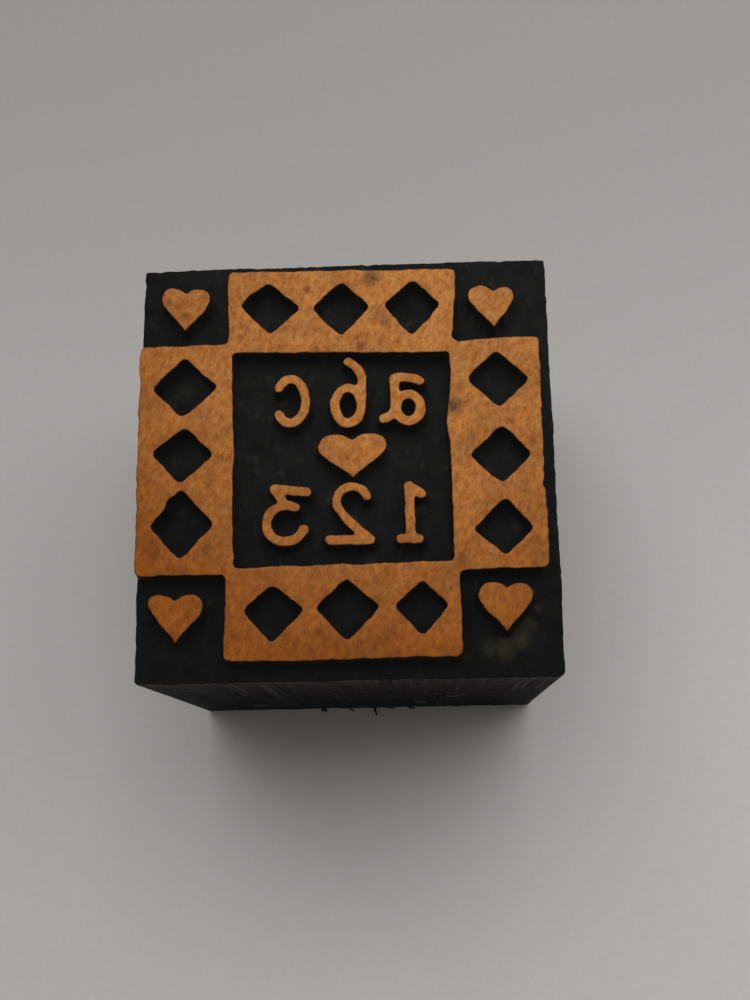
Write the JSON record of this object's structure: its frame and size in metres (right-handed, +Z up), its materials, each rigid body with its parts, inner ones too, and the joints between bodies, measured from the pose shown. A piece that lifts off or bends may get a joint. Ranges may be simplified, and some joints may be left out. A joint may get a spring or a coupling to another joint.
{
  "type": "wooden block stamp",
  "caption": "Hand-carved wooden block stamp: a black-stained cube whose bare-wood relief prints a border of diamonds, hearts and simple mirrored characters.",
  "frame": {"origin": "middle of the block's flat base", "axes": "+Z up through the printing face along the wood grain, +X to the right and +Y away from a person looking down on the printing face with the block's front towards them"},
  "size_m": [0.038, 0.0392, 0.04],
  "materials": {
    "stained_wood": "matte black stain",
    "bare_wood": "sanded bare end grain, satin"
  },
  "bodies": {
    "root": {"block_body": "stained_wood", "border_frame": "bare_wood", "heart_top_left": "bare_wood", "heart_top_right": "bare_wood", "heart_bottom_left": "bare_wood", "heart_bottom_right": "bare_wood", "heart_centre": "bare_wood", "letter_a": "bare_wood", "letter_b": "bare_wood", "letter_c": "bare_wood", "digit_1": "bare_wood", "digit_2": "bare_wood", "digit_3": "bare_wood"}
  },
  "joints": []
}
